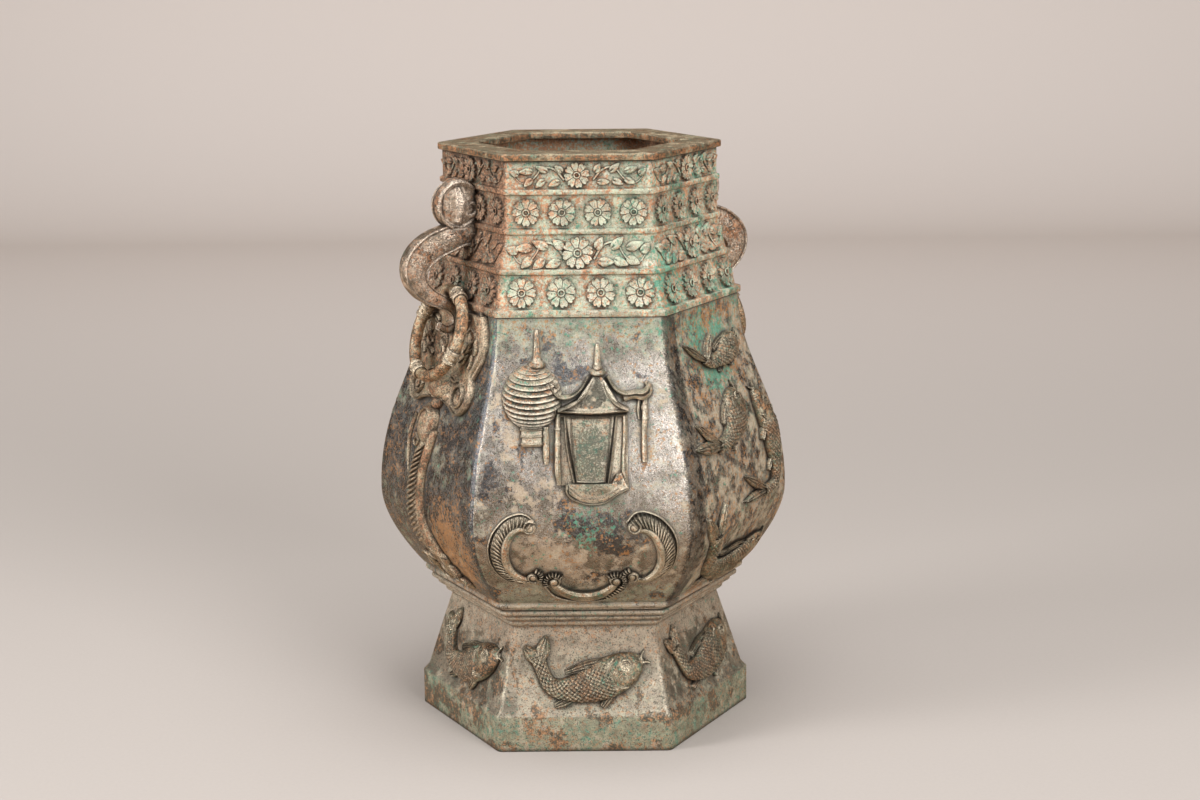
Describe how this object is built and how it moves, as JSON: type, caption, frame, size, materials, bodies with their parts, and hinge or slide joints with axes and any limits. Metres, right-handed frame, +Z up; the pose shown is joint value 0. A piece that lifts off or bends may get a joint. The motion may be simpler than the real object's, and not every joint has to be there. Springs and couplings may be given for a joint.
{
  "type": "vase",
  "caption": "Six-sided footed bronze vase with a banded neck, scroll handles holding loose rings, and cast lanterns, scrolls and fish on its faces",
  "frame": {"origin": "centre of the foot's underside, on the ground", "axes": "+Z up along the vase's axis, -Y out of the front face with the two lanterns, +X to the right seen from the front"},
  "size_m": [0.213, 0.1948, 0.3],
  "materials": {
    "body_bronze": "dark brown patina, half glossy, with blue-black and pale dusty patches",
    "foot_bronze": "grey-brown patina with verdigris in the low places",
    "neck_bronze": "pale verdigris over bronze, with salmon-coloured earth on the carving",
    "rim_bronze": "dark worn bronze",
    "handle_bronze": "dark brown bronze, rubbed bright on the broad faces",
    "ring_bronze": "tan to pale brown bronze, dry and rubbed",
    "earthy_bronze": "bronze under orange-brown earth and verdigris",
    "relief_bronze": "grey-green patina with tan edges",
    "fish_bronze": "olive-brown patina with tan edges and turquoise specks"
  },
  "bodies": {
    "vase": {"body_shell": "body_bronze", "floor_plate": "body_bronze", "foot": "foot_bronze", "neck": "neck_bronze", "mouth_rim": "rim_bronze", "handle_left": "handle_bronze", "handle_right": "handle_bronze", "escutcheon_left": "earthy_bronze", "escutcheon_right": "earthy_bronze", "ribbon_left": "earthy_bronze", "ribbon_right": "earthy_bronze", "globe_lantern_front": "relief_bronze", "globe_lantern_back": "relief_bronze", "palace_lantern_front": "relief_bronze", "palace_lantern_back": "relief_bronze", "scroll_west_front": "relief_bronze", "scroll_west_back": "relief_bronze", "scroll_east_front": "relief_bronze", "scroll_east_back": "relief_bronze", "scroll_lower_front": "relief_bronze", "scroll_lower_back": "relief_bronze", "fish_top_right": "fish_bronze", "fish_top_left": "fish_bronze", "fish_middle_right": "fish_bronze", "fish_middle_left": "fish_bronze", "fish_upright_right": "fish_bronze", "fish_upright_left": "fish_bronze", "fish_low_right": "fish_bronze", "fish_low_left": "fish_bronze", "foot_fish_front": "fish_bronze", "foot_fish_front_right": "fish_bronze", "foot_fish_back_right": "fish_bronze", "foot_fish_back": "fish_bronze", "foot_fish_back_left": "fish_bronze", "foot_fish_front_left": "fish_bronze"},
    "left_ring": {"ring_left": "ring_bronze"},
    "right_ring": {"ring_right": "ring_bronze"}
  },
  "joints": [
    {"name": "left_ring_swing", "type": "hinge", "parent": "vase", "child": "left_ring", "pos_m": [-0.06411, -0.03701, 0.2298], "axis": [-0.5, 0.866, 0], "range_deg": [0, 144]},
    {"name": "right_ring_swing", "type": "hinge", "parent": "vase", "child": "right_ring", "pos_m": [0.06411, 0.03701, 0.2298], "axis": [0.5, -0.866, 0], "range_deg": [0, 144]}
  ]
}
